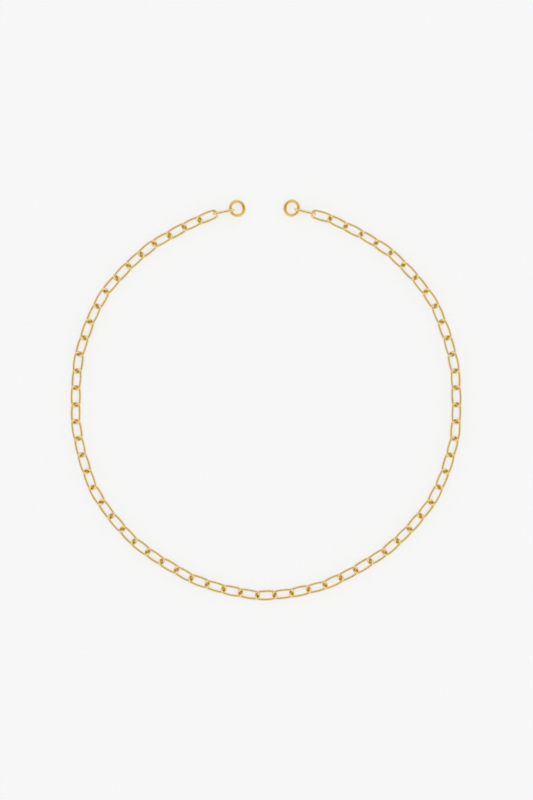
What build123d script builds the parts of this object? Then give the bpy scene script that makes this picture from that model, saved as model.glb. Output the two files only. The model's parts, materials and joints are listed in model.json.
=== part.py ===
"""Paper-clip chain necklace laid out in a loop: 67 oval wire links and a round ring at each end.

Millimetres. The necklace lies on the plane Z = 0, with the gap between its two end rings at +Y.
Links are numbered 0 to 66 along the chain, anticlockwise seen from above, from the left ring,
round the bottom, to the right ring. Contact n is where link n - 1 meets link n.
"""

import os
from math import asin, atan2, cos, degrees, hypot, radians, sin

from build123d import *

# The oval link: round wire, soldered shut
LINK_WIRE = 0.90  # wire diameter
LINK_LENGTH = 7.92  # over the outside of the wire
LINK_WIDTH = 4.21
END_RADIUS = 2.1  # centreline radius at the tip of an end bend
CORNER_RADIUS = 1.1  # centreline radius where the end bend runs into a side
END_HALF_ANGLE = 22  # degrees that the tip's arc reaches each side of the link's long axis

# The end ring: thicker round wire, closed
RING_WIRE = 1.15
RING_OUTER = 6.1  # outside diameter

# How the chain lies
LINKS = 67
MIDDLE = 33  # the link at the bottom centre of the loop
LOOP_RADIUS = 66.5  # to the middle of the chain
OVAL = 0.25  # how much the radius grows at top and bottom, and shrinks at the sides
SPACING = 5.888  # from contact to contact, with the links lying slack
TIGHT_SPACING = 6.025  # the links pulled nearly straight next to the right end link
TIGHT_FROM = 58  # the first of those links
END_SPACING = 5.74  # the end link, next to a ring
TILT = 31  # degrees that a slack link is rolled to one side or the other
TIGHT_TILT = 35
END_TILT = 84.5  # an end link stands almost on edge
END_LIFT = 5  # degrees that the last flat link rises to pass through the end link

# The chain's own unevenness: the radius wanders in waves that repeat every 12 and every 4 contacts
LONG_WAVE, LONG_LENGTH, LONG_PEAK = 0.42, 12, 9.75
SHORT_WAVE, SHORT_LENGTH, SHORT_PEAK = 0.15, 4, 1.25
ALTERNATE_STEP = 0.07  # every other contact sits this much further out

# How a ring lies
RING_REACH = 1.88  # from the end contact to the ring's centre, along the loop
RING_OUTWARD = 0.3  # how much further out the ring's centre is than the end contact
RING_HEIGHT = 1.83  # the ring's wire, where it passes through the end link

# Nodes on each side of the three centre links, counted outwards
ARM_LINKS = 32
PAIRED = (4, 12, 20, 28)  # this link and the next share a node

half_length = (LINK_LENGTH - LINK_WIRE) / 2
half_width = (LINK_WIDTH - LINK_WIRE) / 2
ring_radius = (RING_OUTER - RING_WIRE) / 2


def spacing(link):
    if link in (0, LINKS - 1):
        return END_SPACING
    return TIGHT_SPACING if link >= TIGHT_FROM else SPACING


def tilt(link):
    """Roll about the chain's direction. Even links have their inner side up, odd links their outer side."""
    if link in (0, LINKS - 1):
        return END_TILT
    size = TIGHT_TILT if link >= TIGHT_FROM - 1 else TILT
    return size if link % 2 == 0 else -size


def wave(contact, height, length, peak):
    return height * cos(radians(360 * (contact - peak) / length))


def loop_point(contact, distance):
    """The contact's place, from its distance along the loop from the bottom centre."""
    angle = distance / LOOP_RADIUS
    radius = LOOP_RADIUS + OVAL * cos(2 * angle)
    radius += wave(contact, LONG_WAVE, LONG_LENGTH, LONG_PEAK)
    radius += wave(contact, SHORT_WAVE, SHORT_LENGTH, SHORT_PEAK)
    radius += ALTERNATE_STEP if contact % 2 else -ALTERNATE_STEP
    return Vector(radius * sin(angle), -radius * cos(angle))


def contact_points():
    """The 68 contacts, measured out both ways from the middle link."""
    distances = {MIDDLE: -SPACING / 2, MIDDLE + 1: SPACING / 2}
    for link in range(MIDDLE + 1, LINKS):
        distances[link + 1] = distances[link] + spacing(link)
    for link in range(MIDDLE - 1, -1, -1):
        distances[link] = distances[link + 1] - spacing(link)
    return [loop_point(contact, distances[contact]) for contact in range(LINKS + 1)]


contacts = contact_points()


def link_plane(link, shift=Vector()):
    """The plane of a link's oval: X along the chain, Y towards the inner side of the loop."""
    start, end = contacts[link], contacts[link + 1]
    heading = (end - start).normalized()
    inward = Vector(0, 0, 1).cross(heading)
    roll = radians(tilt(link))
    height = half_width * abs(sin(roll)) + LINK_WIRE / 2
    lift = {1: -END_LIFT, LINKS - 2: END_LIFT}.get(link, 0)
    along = heading * cos(radians(lift)) + Vector(0, 0, sin(radians(lift)))
    centre = (start + end) / 2 + Vector(0, 0, height)
    if lift:
        far, way = (end, -1) if link == 1 else (start, 1)
        centre = far + Vector(0, 0, height) + along * (way * spacing(link) / 2)
    normal = along.cross(inward) * cos(roll) - inward * sin(roll)
    return Plane(origin=centre + shift, x_dir=along, z_dir=normal)


def ring_plane(side, shift=Vector()):
    """The plane of an end ring: X leads away from the chain. side is -1 for left, 1 for right."""
    contact = contacts[0] if side < 0 else contacts[LINKS]
    angle = atan2(contact.X, -contact.Y) + side * RING_REACH / LOOP_RADIUS
    radius = hypot(contact.X, contact.Y) + RING_OUTWARD
    centre = Vector(radius * sin(angle), -radius * cos(angle))
    away = (centre - contact).normalized()
    droop = asin((RING_HEIGHT - RING_WIRE / 2) / (2 * ring_radius))
    along = away * cos(droop) - Vector(0, 0, sin(droop))
    sideways = Vector(0, 0, 1).cross(away)
    centre += Vector(0, 0, RING_WIRE / 2 + ring_radius * sin(droop))
    return Plane(origin=centre + shift, x_dir=along, z_dir=along.cross(sideways))


def link_path(plane):
    """The centreline of a link's wire: eight arcs, each running smoothly into the next."""
    tip_x = half_length - END_RADIUS
    corner_x = tip_x + (END_RADIUS - CORNER_RADIUS) * cos(radians(END_HALF_ANGLE))
    corner_y = (END_RADIUS - CORNER_RADIUS) * sin(radians(END_HALF_ANGLE))
    drop = half_width - corner_y
    side_radius = (corner_x**2 + drop**2 - CORNER_RADIUS**2) / (2 * (drop - CORNER_RADIUS))
    side_y = half_width - side_radius
    side_angle = degrees(atan2(corner_y - side_y, corner_x))
    side_sweep = 180 - 2 * side_angle
    corner_sweep = side_angle - END_HALF_ANGLE
    with BuildLine(plane) as path:
        for turn in (0, 180):
            way = 1 if turn == 0 else -1
            CenterArc((0, way * side_y), side_radius, turn + side_angle, side_sweep)
            CenterArc((way * corner_x, way * corner_y), CORNER_RADIUS, turn + END_HALF_ANGLE, corner_sweep)
            CenterArc((way * tip_x, 0), END_RADIUS, turn - END_HALF_ANGLE, 2 * END_HALF_ANGLE)
            CenterArc((way * corner_x, -way * corner_y), CORNER_RADIUS, turn - side_angle, corner_sweep)
    return path.wires()[0]


def link_solid(plane):
    """One closed link of round wire."""
    path = link_path(plane)
    with BuildPart() as link:
        with BuildSketch(Plane(origin=path @ 0, z_dir=path % 0)):
            Circle(LINK_WIRE / 2)
        sweep(path=path)
    return link.part


def middle_of_box():
    """What moves the necklace's box to be centred on the origin."""
    reaches = [(link_path(link_plane(n)).bounding_box(), LINK_WIRE / 2) for n in range(LINKS)]
    for side in (-1, 1):
        with BuildLine(ring_plane(side)) as round_path:
            CenterArc((0, 0), ring_radius, 0, 360)
        reaches.append((round_path.line.bounding_box(), RING_WIRE / 2))
    x = max(box.max.X + wire for box, wire in reaches) + min(box.min.X - wire for box, wire in reaches)
    y = max(box.max.Y + wire for box, wire in reaches) + min(box.min.Y - wire for box, wire in reaches)
    return Vector(-x / 2, -y / 2)


to_centre = middle_of_box()


def arm_node_links(side):
    """The nodes of one arm as {name: link numbers}, from the centre outwards."""
    name = "left" if side < 0 else "right"
    nodes = {}
    count = 1
    while count <= ARM_LINKS:
        first = MIDDLE + side * (count + 1)
        if count in PAIRED:
            nodes[f"links_{name}_{count:02d}_{count + 1:02d}"] = (first, first + side)
            count += 2
        else:
            nodes[f"link_{name}_{count:02d}"] = (first,)
            count += 1
    return nodes


link_nodes = {"centre_links": (MIDDLE - 1, MIDDLE, MIDDLE + 1)}
link_nodes.update(arm_node_links(-1))
link_nodes.update(arm_node_links(1))


def build():
    os.makedirs("parts", exist_ok=True)
    for name, numbers in link_nodes.items():
        with BuildPart() as links:
            for number in numbers:
                add(link_solid(link_plane(number, to_centre)))
        links.part.label = name
        export_step(links.part, f"parts/{name}.step")

    for name, side in (("ring_left", -1), ("ring_right", 1)):
        plane = ring_plane(side, to_centre)
        with BuildPart() as ring:
            with BuildSketch(Plane(origin=plane.origin, x_dir=plane.x_dir, z_dir=plane.y_dir)):
                with Locations((ring_radius, 0)):
                    Circle(RING_WIRE / 2)
            revolve(axis=Axis(plane.origin, plane.z_dir))
        ring.part.label = name
        export_step(ring.part, f"parts/{name}.step")


build()
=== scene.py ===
import json
import math

import bpy
import numpy as np
from mathutils import Matrix


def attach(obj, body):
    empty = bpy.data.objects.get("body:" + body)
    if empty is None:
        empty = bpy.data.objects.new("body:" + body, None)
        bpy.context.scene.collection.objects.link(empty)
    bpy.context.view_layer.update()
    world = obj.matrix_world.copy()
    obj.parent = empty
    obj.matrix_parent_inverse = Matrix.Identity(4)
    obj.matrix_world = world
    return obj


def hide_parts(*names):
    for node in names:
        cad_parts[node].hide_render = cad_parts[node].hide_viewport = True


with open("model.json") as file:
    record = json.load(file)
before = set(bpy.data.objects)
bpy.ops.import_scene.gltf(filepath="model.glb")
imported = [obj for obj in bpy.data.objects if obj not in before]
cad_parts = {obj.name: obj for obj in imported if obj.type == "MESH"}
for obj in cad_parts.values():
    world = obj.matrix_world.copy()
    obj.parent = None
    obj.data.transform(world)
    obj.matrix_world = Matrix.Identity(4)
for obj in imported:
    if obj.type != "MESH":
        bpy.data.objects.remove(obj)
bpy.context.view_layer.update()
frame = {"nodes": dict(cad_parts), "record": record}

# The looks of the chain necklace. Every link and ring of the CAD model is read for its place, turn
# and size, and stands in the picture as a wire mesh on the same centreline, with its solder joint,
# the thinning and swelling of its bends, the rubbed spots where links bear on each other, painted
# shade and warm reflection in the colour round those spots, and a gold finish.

MM = 0.001

# Reading the CAD meshes
WELD = 0.001 * MM  # points that round to the same place on this grid are one point
ROUND_RATIO = 1.05  # a solid spread this evenly along its two long axes is a round one

# The oval link's outline. Its length, width and wire come from the frame.
END_RADIUS = 2.1 * MM  # centreline radius at the tip of an end bend
CORNER_RADIUS = 1.1 * MM  # where the end bend runs into a side
END_HALF_ANGLE = math.radians(22)  # that the tip's arc reaches each side of the link's long axis

# How finely a wire is divided
AROUND = 28
SIDE_STATIONS = 22  # along each long side, an even number so that the joint is at its middle
CORNER_STATIONS = 13
TIP_STATIONS = 10
RING_STATIONS = 120

# The solder joint
JOINT_PROUD = 0.016 * MM  # how far the solder stands out of the wire
JOINT_REACH = 0.17 * MM  # how far it spreads to each side
JOINT_GROOVE = 0.008 * MM  # the fine line where the two wire ends meet
GROOVE_REACH = 0.03 * MM
JOINT_COLOUR_REACH = 0.136 * MM

# The bends, and where other links bear on them
BEND_THINNING = 0.012  # the most that the outside of a bend loses, as a share of the wire's radius
BEND_UPSET = 0.08 * MM  # how much the inside of an end bend swells as it is bent
SNUG_UPSET = 0.026 * MM  # the same, where less room is left between the wires
SNUG_FROM = {"left": 31, "right": 23}  # the first such link of each arm
UPSET_REACH = 0.6 * MM
RUBBED_DEPTH = 0.012 * MM  # worn off the inside of an end bend by the next link
RUBBED_REACH = 0.34 * MM
PAINTED_SHADE_REACH = 0.95 * MM  # how far the painted shade and inter-reflection, a darker gold round that spot, spreads
# on the rings the painted spot is a warm reflection with painted shade, and spreads further
RING_PAINTED_REFLECTION_REACH = 1.5 * MM

# The wire's own slight unevenness
WAVINESS = 0.004 * MM
WAVE_CYCLES = (2, 3, 5, 8)  # how often each wave repeats in one piece

# The gold's patterns: how dense they are round the wire, given twice, and along it per millimetre
DRAWN_LINES = (9.0, 9.0, 0.35)
CLOUDS = (0.8, 0.8, 0.9)
SCRATCHES = (2.5, 2.5, 14.0)
NOISE_RANGE = (0.3, 0.7)  # the noise values that count as no cloud and as full cloud
SCRATCH_RANGE = (0.56, 0.72)
LINE_DEPTH = 0.007 * MM
SCRATCH_DEPTH = 0.005 * MM
PATTERN_STEP = 40  # millimetres along the patterns from one piece to the next

# The floor, a light table
FLOOR_SIZE = 6.0
FLOOR_GREY = 0.30
FLOOR_GLOW = 0.696
FIBRES = 900.0  # a metre
FIBRE_DEPTH = 0.02 * MM
FIBRE_SHADE = 0.96  # the fibres' brightness beside the rest

# The light tent: how bright it is at each height, given as the sine of the angle above the horizon
TENT_LEVELS = ((0.0, 0.8), (0.5, 1.12), (0.8, 0.7), (0.97, 0.38))

# The photographed view: straight down, from far enough away for little perspective
VIEW_HEIGHT = 276.4 * MM  # what the picture's long side covers
VIEW_OFFSET = 0.17 * MM  # the necklace's middle is this far left of the picture's middle
CAMERA_DISTANCE = 1.3
SENSOR = 36.0


# ---------------------------------------------------------------- reading the frame


def welded(mesh):
    """The mesh's points without doubles, in metres, and its triangles."""
    mesh.calc_loop_triangles()
    points = np.empty(len(mesh.vertices) * 3)
    mesh.vertices.foreach_get("co", points)
    points = points.reshape(-1, 3)
    corners = np.empty(len(mesh.loop_triangles) * 3, int)
    mesh.loop_triangles.foreach_get("vertices", corners)
    keys = np.round(points / WELD).astype(int)
    _, first, same = np.unique(keys, axis=0, return_index=True, return_inverse=True)
    return points[first], same.reshape(-1)[corners].reshape(-1, 3)


def separate_solids(points, triangles):
    """The triangles of each solid, in the order that they come in the mesh."""
    label = np.arange(len(points))
    while True:
        lowest = label[triangles].min(axis=1)
        before = label.copy()
        for corner in range(3):
            np.minimum.at(label, triangles[:, corner], lowest)
        label = label[label]
        if (label == before).all():
            break
    found = label[triangles[:, 0]]
    _, order = np.unique(found, return_index=True)
    return [triangles[found == found[start]] for start in sorted(order)]


def read_solid(points, triangles):
    """A solid's centre, its axes as rows (along, across, normal) and its size along them.

    A round solid has no longest axis, so along is taken as the chain's direction.
    """
    a, b, c = (points[triangles[:, corner]] for corner in range(3))
    area = np.linalg.norm(np.cross(b - a, c - a), axis=1)
    total = area.sum()
    centre = (area[:, None] * (a + b + c)).sum(axis=0) / (3 * total)
    spread = np.zeros((3, 3))
    for p in (a - centre, b - centre, c - centre, a + b + c - 3 * centre):
        spread += np.einsum("n,ni,nj->ij", area, p, p)
    amounts, vectors = np.linalg.eigh(spread)
    normal = vectors[:, 0] * (1 if vectors[2, 0] >= 0 else -1)
    along = vectors[:, 2]
    onward = np.cross((0, 0, 1), centre)
    if amounts[2] < ROUND_RATIO * amounts[1]:
        along = onward - (onward @ normal) * normal
        along = along / np.linalg.norm(along)
    along = along * (1 if along @ onward >= 0 else -1)
    axes = np.array([along, np.cross(normal, along), normal])
    reach = (points[np.unique(triangles)] - centre) @ axes.T
    return centre, axes, reach.max(axis=0) - reach.min(axis=0)


def read_node(node):
    """The solids of a CAD node, in the order that piece_names gives their names."""
    points, triangles = welded(frame["nodes"][node].data)
    solids = [read_solid(points, part) for part in separate_solids(points, triangles)]
    outward = -1 if "left" in node else 1
    solids.sort(key=lambda solid: outward * math.atan2(solid[0][0], -solid[0][1]))
    return solids


def piece_names(node, count):
    """One name for each solid of a node."""
    if count == 1:
        return ["wire_" + node]
    if node == "centre_links":
        return ["wire_link_centre_" + side for side in ("left", "middle", "right")]
    side, first, second = node.split("_")[1:]
    return [f"wire_link_{side}_{number}" for number in (first, second)]


def read_pieces():
    """Every solid of the necklace: its name, body, node, centre, axes and size."""
    for body, nodes in frame["record"]["behaviour"]["bodies"].items():
        for node in nodes:
            solids = read_node(node)
            for name, solid in zip(piece_names(node, len(solids)), solids):
                yield name, body, node, *solid


# ---------------------------------------------------------------- the wire's centreline


def link_centreline(half_length, half_width):
    """Stations round the oval, from the middle of one long side: place, outward angle, arc radius."""
    tip_x = half_length - END_RADIUS
    inset = END_RADIUS - CORNER_RADIUS
    tip = END_HALF_ANGLE
    corner_x = tip_x + inset * math.cos(tip)
    corner_y = inset * math.sin(tip)
    drop = half_width - corner_y
    side_radius = (corner_x**2 + drop**2 - CORNER_RADIUS**2) / (2 * (drop - CORNER_RADIUS))
    side_y = half_width - side_radius
    side_angle = math.atan2(corner_y - side_y, corner_x)
    half = [
        ((0, side_y), side_radius, math.pi / 2, math.pi - side_angle, SIDE_STATIONS // 2),
        ((-corner_x, corner_y), CORNER_RADIUS, math.pi - side_angle, math.pi - tip, CORNER_STATIONS),
        ((-tip_x, 0), END_RADIUS, math.pi - tip, math.pi + tip, TIP_STATIONS),
        ((-corner_x, -corner_y), CORNER_RADIUS, math.pi + tip, math.pi + side_angle, CORNER_STATIONS),
        ((0, -side_y), side_radius, math.pi + side_angle, 1.5 * math.pi, SIDE_STATIONS // 2),
    ]
    places, angles, radii = [], [], []
    for turn in (0, math.pi):
        way = 1 if turn == 0 else -1
        for (x, y), radius, start, end, count in half:
            for step in range(count):
                angle = start + (end - start) * step / count
                places.append((way * (x + radius * math.cos(angle)), way * (y + radius * math.sin(angle))))
                angles.append(angle + turn)
                radii.append(radius)
    return np.array(places), np.array(angles), np.array(radii)


def ring_centreline(radius):
    angles = 0.5 * math.pi + 2 * math.pi * np.arange(RING_STATIONS) / RING_STATIONS
    places = radius * np.stack([np.cos(angles), np.sin(angles)], axis=1)
    return places, angles, np.full(RING_STATIONS, radius)


def distances_along(places):
    """How far each station is along the wire from the first, and then the whole way round."""
    step = np.linalg.norm(np.roll(places, -1, axis=0) - places, axis=1)
    return np.concatenate([[0], np.cumsum(step)])


# ---------------------------------------------------------------- wire meshes


def bump_at(distance, reach):
    return np.exp(-((distance / reach) ** 2))


def near_tips(places, tips, reach):
    """How near each station is to the places where others bear on the wire: 1 there, 0 far away."""
    near = np.zeros(len(places))
    for x in tips:
        near += bump_at(np.hypot(places[:, 0] - x, places[:, 1]), reach)
    return near


def tube(name, places, angles, around, radius):
    """A closed mesh round a flat centreline. radius holds one value for each station and spoke."""
    count = len(places)
    out = np.stack([np.cos(angles), np.sin(angles), np.zeros(count)], axis=1)
    up = np.array([0, 0, 1])
    spokes = np.cos(around)[None, :, None] * out[:, None, :] + np.sin(around)[None, :, None] * up
    centres = np.concatenate([places, np.zeros((count, 1))], axis=1)
    points = centres[:, None, :] + radius[:, :, None] * spokes
    faces = []
    for i in range(count):
        j = (i + 1) % count
        for k in range(AROUND):
            m = (k + 1) % AROUND
            faces.append((i * AROUND + k, j * AROUND + k, j * AROUND + m, i * AROUND + m))
    mesh = bpy.data.meshes.new(name)
    mesh.from_pydata(points.reshape(-1, 3).tolist(), [], faces)
    mesh.polygons.foreach_set("use_smooth", [True] * len(faces))
    return mesh


def store_grain(mesh, run, around, seed):
    """Keeps where each face corner lies on the wire: round it, and along it in millimetres."""
    values = np.empty((len(run) - 1, AROUND, 4, 3))
    for corner, (along, turned) in enumerate(((0, 0), (1, 0), (1, 1), (0, 1))):
        turn = around + turned * 2 * math.pi / AROUND
        values[:, :, corner, 0] = np.cos(turn)
        values[:, :, corner, 1] = np.sin(turn)
        values[:, :, corner, 2] = ((run[1:] if along else run[:-1]) / MM)[:, None] + PATTERN_STEP * seed
    grain = mesh.attributes.new("grain", "FLOAT_VECTOR", "CORNER")
    grain.data.foreach_set("vector", values.reshape(-1))


def wire_mesh(name, centreline, wire, tips, upset, painted_reach, seed):
    """A closed loop of wire in its own plane. tips are the x of the places where others bear on it."""
    places, angles, bends = centreline
    run = distances_along(places)
    start, total = run[:-1], run[-1]
    from_joint = np.minimum(start, total - start)
    rubbed = near_tips(places, tips, RUBBED_REACH)
    # Painted shade and inter-reflection, put into the colour near where other links bear on the wire
    shade_near_tips = near_tips(places, tips, painted_reach)
    swell = upset * near_tips(places, tips, UPSET_REACH) - RUBBED_DEPTH * rubbed

    draw = np.random.default_rng(seed)
    waves = np.zeros(len(places))
    for cycles in WAVE_CYCLES:
        waves += np.sin(2 * math.pi * cycles * start / total + draw.uniform(0, 2 * math.pi)) / cycles

    around = 2 * math.pi * np.arange(AROUND) / AROUND
    outward = np.maximum(np.cos(around), 0)
    inward = np.maximum(-np.cos(around), 0)
    radius = np.full((len(places), AROUND), wire / 2)
    radius += (JOINT_PROUD * bump_at(from_joint, JOINT_REACH))[:, None]
    radius -= (JOINT_GROOVE * bump_at(from_joint, GROOVE_REACH))[:, None]
    radius -= (BEND_THINNING * wire / 2 * np.minimum(wire / bends, 1))[:, None] * outward
    radius += swell[:, None] * inward**2
    radius += WAVINESS * (waves[:, None] * np.cos(around + draw.uniform(0, 2 * math.pi))) / 2

    mesh = tube(name, places, angles, around, radius)
    store_grain(mesh, run, around, seed)
    joint = np.repeat(bump_at(from_joint, JOINT_COLOUR_REACH), AROUND)
    shaded_side = (0.4 - 0.8 * np.cos(around)).clip(0, 1)  # the inner side and a little beyond, where the painted shade goes
    for label, amount in (
        ("joint", joint),
        ("rubbed", (rubbed[:, None] * inward).reshape(-1)),
        ("painted_shade_and_reflection", (shade_near_tips[:, None] * shaded_side).reshape(-1)),
        ("tone", np.full(len(joint), draw.uniform())),
    ):
        attribute = mesh.attributes.new(label, "FLOAT", "POINT")
        attribute.data.foreach_set("value", amount)
    return mesh


def link_upset(name):
    """How much a link's end bends swell, by its side and number in the chain."""
    side, number = name.split("_")[-2:]
    snug = side in SNUG_FROM and int(number) >= SNUG_FROM[side]
    return SNUG_UPSET if snug else BEND_UPSET


def place(name, mesh, centre, axes, body, node, material):
    """Puts a wire mesh where its CAD solid is, riding on the same body."""
    matrix = Matrix([[*column, centre[row]] for row, column in enumerate(axes.T)] + [[0, 0, 0, 1]])
    mesh.transform(matrix)
    mesh.materials.append(material)
    piece = bpy.data.objects.new(name, mesh)
    bpy.context.scene.collection.objects.link(piece)
    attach(piece, body)
    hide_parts(node)


# ---------------------------------------------------------------- materials


class Nodes:
    """Short names for building a node tree."""

    def __init__(self, tree):
        self.tree = tree
        tree.nodes.clear()

    def add(self, kind, **settings):
        node = self.tree.nodes.new(kind)
        for key, value in settings.items():
            setattr(node, key, value)
        return node

    def feed(self, socket, value):
        if isinstance(value, bpy.types.NodeSocket):
            self.tree.links.new(value, socket)
        else:
            socket.default_value = value

    def attribute(self, name, output="Fac"):
        return self.add("ShaderNodeAttribute", attribute_name=name).outputs[output]

    def math(self, operation, a, b=0.0, clamp=False):
        node = self.add("ShaderNodeMath", operation=operation, use_clamp=clamp)
        self.feed(node.inputs[0], a)
        self.feed(node.inputs[1], b)
        return node.outputs[0]

    def scaled(self, vector, factors):
        node = self.add("ShaderNodeVectorMath", operation="MULTIPLY")
        self.feed(node.inputs[0], vector)
        node.inputs[1].default_value = factors
        return node.outputs[0]

    def noise(self, vector, scale, detail=2.0, roughness=0.5):
        node = self.add("ShaderNodeTexNoise")
        self.feed(node.inputs["Vector"], vector)
        self.feed(node.inputs["Scale"], scale)
        self.feed(node.inputs["Detail"], detail)
        self.feed(node.inputs["Roughness"], roughness)
        return node.outputs["Fac"]

    def spread(self, value, low, high, to_low=0.0, to_high=1.0):
        node = self.add("ShaderNodeMapRange")
        for socket, number in zip(node.inputs[:5], (value, low, high, to_low, to_high)):
            self.feed(socket, number)
        return node.outputs[0]

    def mix(self, amount, a, b):
        """Mixes two colours. Inputs 6 and 7 and output 2 are the Mix node's colour sockets."""
        node = self.add("ShaderNodeMix", data_type="RGBA")
        self.feed(node.inputs["Factor"], amount)
        self.feed(node.inputs[6], a)
        self.feed(node.inputs[7], b)
        return node.outputs[2]

    def bump(self, height, distance, strength, under=None):
        node = self.add("ShaderNodeBump")
        self.feed(node.inputs["Height"], height)
        self.feed(node.inputs["Distance"], distance)
        self.feed(node.inputs["Strength"], strength)
        if under is not None:
            self.feed(node.inputs["Normal"], under)
        return node.outputs[0]

    def surface(self, shader):
        output = self.add("ShaderNodeOutputMaterial")
        self.feed(output.inputs["Surface"], shader.outputs[0])


def gold(name, colour, deep, shade_and_reflection_colour, joint_colour, roughness):
    """Polished gold wire: drawing lines along it, fine polishing scratches, clouds, joint and wear, with
    painted shade and warm reflection in the colour where links bear on each other.
    """
    material = bpy.data.materials.new(name)
    material.use_nodes = True
    n = Nodes(material.node_tree)
    grain = n.attribute("grain", "Vector")
    joint = n.attribute("joint")
    rubbed = n.attribute("rubbed")
    painted_shade_and_reflection = n.attribute("painted_shade_and_reflection")
    tone = n.attribute("tone")

    lines = n.noise(n.scaled(grain, DRAWN_LINES), 1.0, detail=3.0, roughness=0.6)
    clouds = n.noise(n.scaled(grain, CLOUDS), 1.0, detail=2.0)
    scratches = n.noise(n.scaled(grain, SCRATCHES), 1.6, detail=5.0, roughness=0.7)
    scratches = n.spread(scratches, *SCRATCH_RANGE)

    varied = n.mix(n.spread(clouds, *NOISE_RANGE, 0.0, 0.55), colour, deep)
    varied = n.mix(n.math("MULTIPLY", tone, 0.25), varied, deep)
    # Painted shade and inter-reflection at the contacts, made patchy by the clouds
    patchy_painted_shade = n.math("MULTIPLY", painted_shade_and_reflection, n.spread(clouds, *NOISE_RANGE, 1.0, 1.5), clamp=True)
    varied = n.mix(patchy_painted_shade, varied, shade_and_reflection_colour)
    varied = n.mix(n.math("MULTIPLY", joint, 0.55), varied, joint_colour)

    rough = n.spread(clouds, *NOISE_RANGE, roughness * 0.8, roughness * 1.3)
    for cause, amount in ((lines, 0.06), (scratches, 0.10), (joint, 0.12), (rubbed, 0.08)):
        rough = n.math("ADD", rough, n.math("MULTIPLY", cause, amount))

    normal = n.bump(lines, LINE_DEPTH, 0.6)
    normal = n.bump(scratches, -SCRATCH_DEPTH, 0.7, normal)

    shader = n.add("ShaderNodeBsdfPrincipled")
    shader.inputs["Metallic"].default_value = 1.0
    n.feed(shader.inputs["Base Color"], varied)
    n.feed(shader.inputs["Roughness"], rough)
    n.feed(shader.inputs["Normal"], normal)
    n.surface(shader)
    return material


def paper(name, grey, glow):
    """The pale floor: a smooth light table with the faintest grain, which glows a little."""
    material = bpy.data.materials.new(name)
    material.use_nodes = True
    n = Nodes(material.node_tree)
    where = n.add("ShaderNodeTexCoord").outputs["Object"]
    fibres = n.noise(where, FIBRES, detail=3.0)
    shade = FIBRE_SHADE * grey
    shader = n.add("ShaderNodeBsdfPrincipled")
    shader.inputs["Roughness"].default_value = 0.85
    shader.inputs["Specular IOR Level"].default_value = 0.2
    colour = n.mix(n.spread(fibres, *NOISE_RANGE), (grey, grey, grey, 1), (shade, shade, shade, 1))
    n.feed(shader.inputs["Base Color"], colour)
    n.feed(shader.inputs["Normal"], n.bump(fibres, FIBRE_DEPTH, 0.2))
    shader.inputs["Emission Color"].default_value = (1, 1, 1, 1)
    shader.inputs["Emission Strength"].default_value = glow
    n.surface(shader)
    return material


# ---------------------------------------------------------------- the necklace


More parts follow.
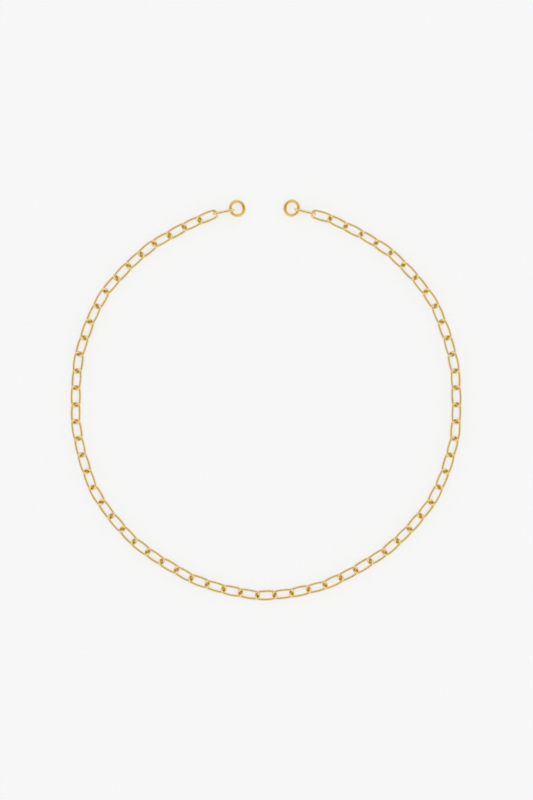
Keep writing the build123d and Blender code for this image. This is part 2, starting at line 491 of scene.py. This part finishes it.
def build_necklace():
    link_gold = gold(
        "polished_gold_link",
        colour=(0.91, 0.735, 0.40, 1),
        deep=(0.82, 0.62, 0.27, 1),
        # painted shade and inter-reflection where the links bear on each other
        shade_and_reflection_colour=(0.68, 0.51, 0.004, 1),
        joint_colour=(0.93, 0.80, 0.52, 1),
        roughness=0.13,
    )
    ring_gold = gold(
        "polished_gold_ring",
        colour=(0.90, 0.70, 0.27, 1),
        deep=(0.84, 0.60, 0.18, 1),
        # painted warm reflection and shade on the ring's inner side where the end links bear
        shade_and_reflection_colour=(0.78, 0.43, 0.01, 1),
        joint_colour=(0.93, 0.78, 0.48, 1),
        roughness=0.12,
    )
    for seed, (name, body, node, centre, axes, size) in enumerate(read_pieces(), start=1):
        length, width, wire = size
        half_length, half_width = (length - wire) / 2, (width - wire) / 2
        tips = (-half_length, half_length)
        if node.startswith("ring"):
            line = ring_centreline((half_length + half_width) / 2)
            mesh = wire_mesh(name, line, wire, tips, SNUG_UPSET, RING_PAINTED_REFLECTION_REACH, seed)
            place(name, mesh, centre, axes, body, node, ring_gold)
        else:
            line = link_centreline(half_length, half_width)
            mesh = wire_mesh(name, line, wire, tips, link_upset(name), PAINTED_SHADE_REACH, seed)
            place(name, mesh, centre, axes, body, node, link_gold)


# ---------------------------------------------------------------- floor, light and camera


def build_floor():
    half = FLOOR_SIZE / 2
    mesh = bpy.data.meshes.new("floor")
    corners = [(-half, -half, 0), (half, -half, 0), (half, half, 0), (-half, half, 0)]
    mesh.from_pydata(corners, [], [(0, 1, 2, 3)])
    mesh.materials.append(paper("light_table", FLOOR_GREY, FLOOR_GLOW))
    floor = bpy.data.objects.new("floor", mesh)
    bpy.context.scene.collection.objects.link(floor)


def build_light():
    """A white light tent, brightest 30 degrees above the horizon and dim overhead, round the camera."""
    world = bpy.data.worlds.new("tent")
    bpy.context.scene.world = world
    world.use_nodes = True
    n = Nodes(world.node_tree)
    direction = n.add("ShaderNodeTexCoord").outputs["Generated"]
    apart = n.add("ShaderNodeSeparateXYZ")
    n.feed(apart.inputs[0], direction)
    tent = n.add("ShaderNodeValToRGB")
    tent.color_ramp.interpolation = "EASE"
    for _ in range(len(TENT_LEVELS) - 2):
        tent.color_ramp.elements.new(0.5)
    for element, (height, level) in zip(tent.color_ramp.elements, TENT_LEVELS):
        element.position = height
        element.color = (level, level, level, 1)
    n.feed(tent.inputs["Fac"], apart.outputs["Z"])
    background = n.add("ShaderNodeBackground")
    n.feed(background.inputs["Color"], tent.outputs["Color"])
    background.inputs["Strength"].default_value = 1.0
    output = n.add("ShaderNodeOutputWorld")
    n.feed(output.inputs["Surface"], background.outputs[0])


def build_camera():
    lens = bpy.data.cameras.new("camera")
    lens.sensor_width = SENSOR
    lens.lens = SENSOR * CAMERA_DISTANCE / VIEW_HEIGHT
    lens.clip_start = 0.01
    lens.clip_end = 20
    camera = bpy.data.objects.new("camera", lens)
    camera.location = (VIEW_OFFSET, 0, CAMERA_DISTANCE)
    bpy.context.scene.collection.objects.link(camera)
    bpy.context.scene.camera = camera
    bpy.context.scene.view_settings.view_transform = "Standard"


build_necklace()
build_floor()
build_light()
build_camera()
